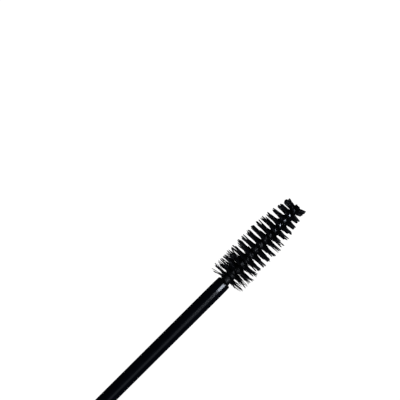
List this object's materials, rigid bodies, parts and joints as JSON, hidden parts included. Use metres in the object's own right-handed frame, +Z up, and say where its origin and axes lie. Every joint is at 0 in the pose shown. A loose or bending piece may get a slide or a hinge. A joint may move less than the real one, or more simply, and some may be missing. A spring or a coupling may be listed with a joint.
{
  "type": "mascara tube",
  "caption": "Mascara lying open: a square-sectioned bottle with a wiper in its threaded neck, and a capped wand whose twisted-wire brush draws out of it.",
  "frame": {"origin": "centre of the bottom of the open assembly's bounding box, on the surface that the bottle and the cap lie on", "axes": "+X from the cap's closed end along the wand and the bottle's axis to the bottle's base, +Z up"},
  "size_m": [0.2642, 0.018, 0.018],
  "materials": {
    "gloss_black": "gloss black injection moulding",
    "dark_metal": "satin gunmetal anodised aluminium",
    "moulded_black": "plain black polypropylene",
    "wiper_natural": "natural low-density polyethylene, a little translucent",
    "mascara_black": "wet black paste",
    "seal_rubber": "soft dark grey elastomer",
    "steel_wire": "bright stainless wire",
    "bristle_nylon": "black nylon monofilament with a trace of mascara"
  },
  "bodies": {
    "bottle": {"outer_case": "gloss_black", "base_plug": "dark_metal", "inner_vial": "moulded_black", "collar_ring": "dark_metal", "wiper": "wiper_natural", "mascara_paste": "mascara_black"},
    "seal": {"seal_ring": "seal_rubber"},
    "wand": {"cap_shell": "gloss_black", "cap_end_disc": "dark_metal", "cap_liner": "moulded_black", "rod": "gloss_black", "core_wire_a": "steel_wire", "core_wire_b": "steel_wire", "bristle_row_01": "bristle_nylon", "bristle_row_02": "bristle_nylon", "bristle_row_03": "bristle_nylon", "bristle_row_04": "bristle_nylon", "bristle_row_05": "bristle_nylon", "bristle_row_06": "bristle_nylon", "bristle_row_07": "bristle_nylon", "bristle_row_08": "bristle_nylon", "bristle_row_09": "bristle_nylon", "bristle_row_10": "bristle_nylon", "bristle_row_11": "bristle_nylon", "bristle_row_12": "bristle_nylon", "bristle_row_13": "bristle_nylon", "bristle_row_14": "bristle_nylon", "bristle_row_15": "bristle_nylon"}
  },
  "joints": [
    {"name": "wand_slide", "type": "slide", "parent": "bottle", "child": "seal", "axis": [1, 0, 0], "range_m": [0, 0.13192], "deforming": ["bristle_row_01", "bristle_row_02", "bristle_row_03", "bristle_row_04", "bristle_row_05", "bristle_row_06", "bristle_row_07", "bristle_row_08", "bristle_row_09", "bristle_row_10", "bristle_row_11", "bristle_row_12", "bristle_row_13", "bristle_row_14", "bristle_row_15"]},
    {"name": "cap_turn", "type": "hinge", "parent": "seal", "child": "wand", "pos_m": [0, 0, 0.009], "axis": [1, 0, 0], "range_deg": [0, 720]}
  ]
}
